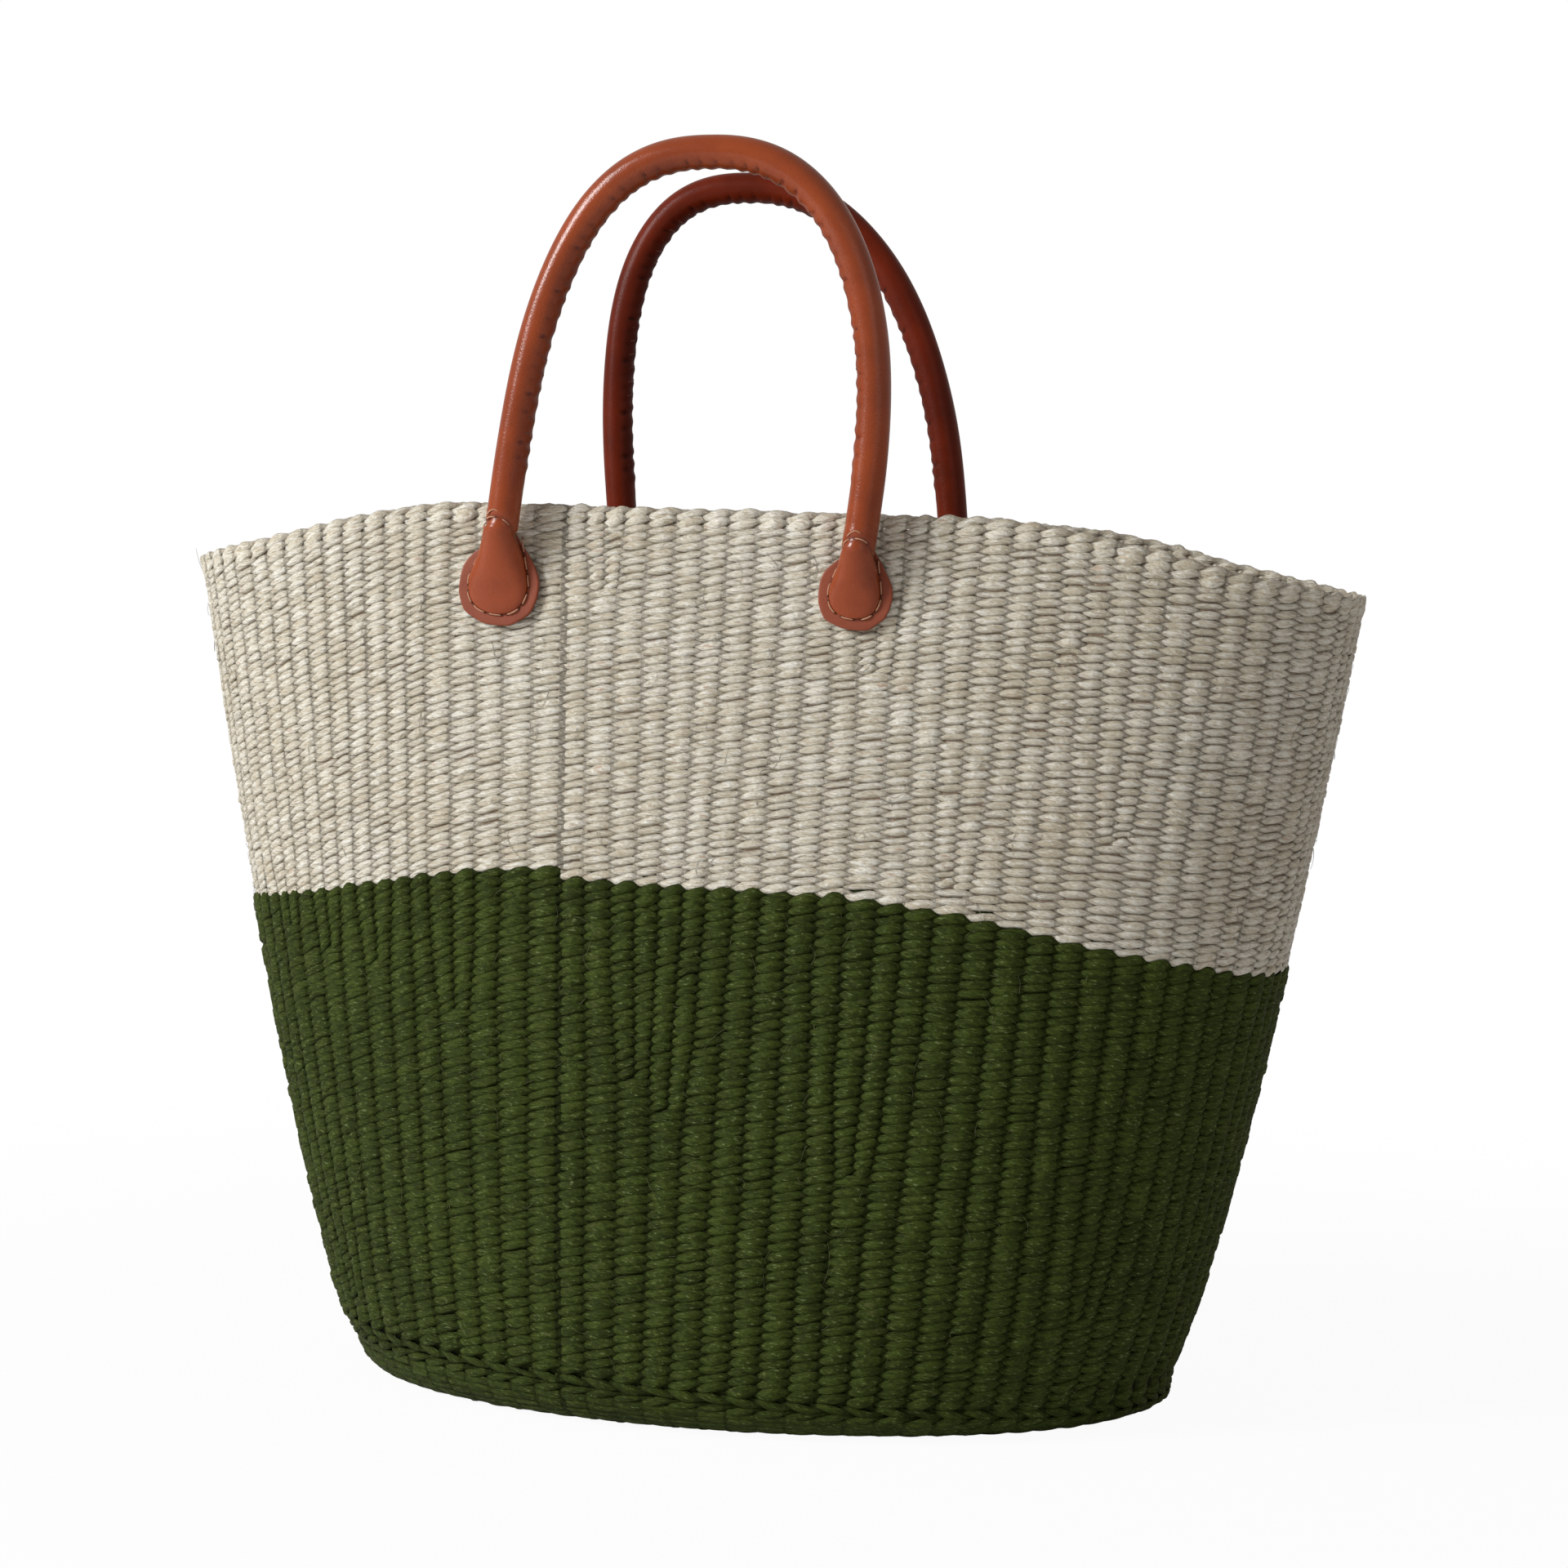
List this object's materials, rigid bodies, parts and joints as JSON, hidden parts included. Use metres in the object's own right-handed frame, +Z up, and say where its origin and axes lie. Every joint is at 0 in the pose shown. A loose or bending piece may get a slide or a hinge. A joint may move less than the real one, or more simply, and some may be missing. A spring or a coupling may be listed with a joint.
{
  "type": "woven tote bag",
  "caption": "Oval twined sisal basket bag, pale above and olive below, with a braided rim and two rolled leather handles that swing on sewn leather feet.",
  "frame": {"origin": "middle of the base, on the surface that the bag stands on", "axes": "+Z up, +X to the right along the bag's width as seen from its front, -Y out of the front"},
  "size_m": [0.438, 0.2144, 0.4538],
  "materials": {
    "olive_sisal": "dry dyed plant fibre yarn, olive green",
    "natural_sisal": "undyed plant fibre yarn with a faint sheen, cream with tan flecks",
    "handle_leather": "smooth orange-brown leather, softly glossy",
    "patch_leather": "the same leather, flatter and a little pinker at its cut edge",
    "sewing_thread": "pale tan waxed thread",
    "core_cord": "plain twisted plant fibre cord, hidden inside the leather"
  },
  "bodies": {
    "basket": {"woven_base": "olive_sisal", "base_bead_row": "olive_sisal", "lower_wall_olive": "olive_sisal", "upper_wall_natural": "natural_sisal", "rim_braid": "natural_sisal", "front_left_moulded_end": "handle_leather", "front_left_patch": "patch_leather", "front_left_thread": "sewing_thread", "front_right_moulded_end": "handle_leather", "front_right_patch": "patch_leather", "front_right_thread": "sewing_thread", "rear_left_moulded_end": "handle_leather", "rear_left_patch": "patch_leather", "rear_left_thread": "sewing_thread", "rear_right_moulded_end": "handle_leather", "rear_right_patch": "patch_leather", "rear_right_thread": "sewing_thread"},
    "front_handle": {"front_handle_cover": "handle_leather", "front_handle_core": "core_cord", "front_handle_lacing": "sewing_thread"},
    "rear_handle": {"rear_handle_cover": "handle_leather", "rear_handle_core": "core_cord", "rear_handle_lacing": "sewing_thread"}
  },
  "joints": [
    {"name": "front_handle_swing", "type": "hinge", "parent": "basket", "child": "front_handle", "pos_m": [-0.0095, -0.0906, 0.3235], "axis": [1, 0, 0], "range_deg": [-35, 150]},
    {"name": "rear_handle_swing", "type": "hinge", "parent": "basket", "child": "rear_handle", "pos_m": [-0.0175, 0.0906, 0.3235], "axis": [-1, 0, 0], "range_deg": [-35, 150]}
  ]
}
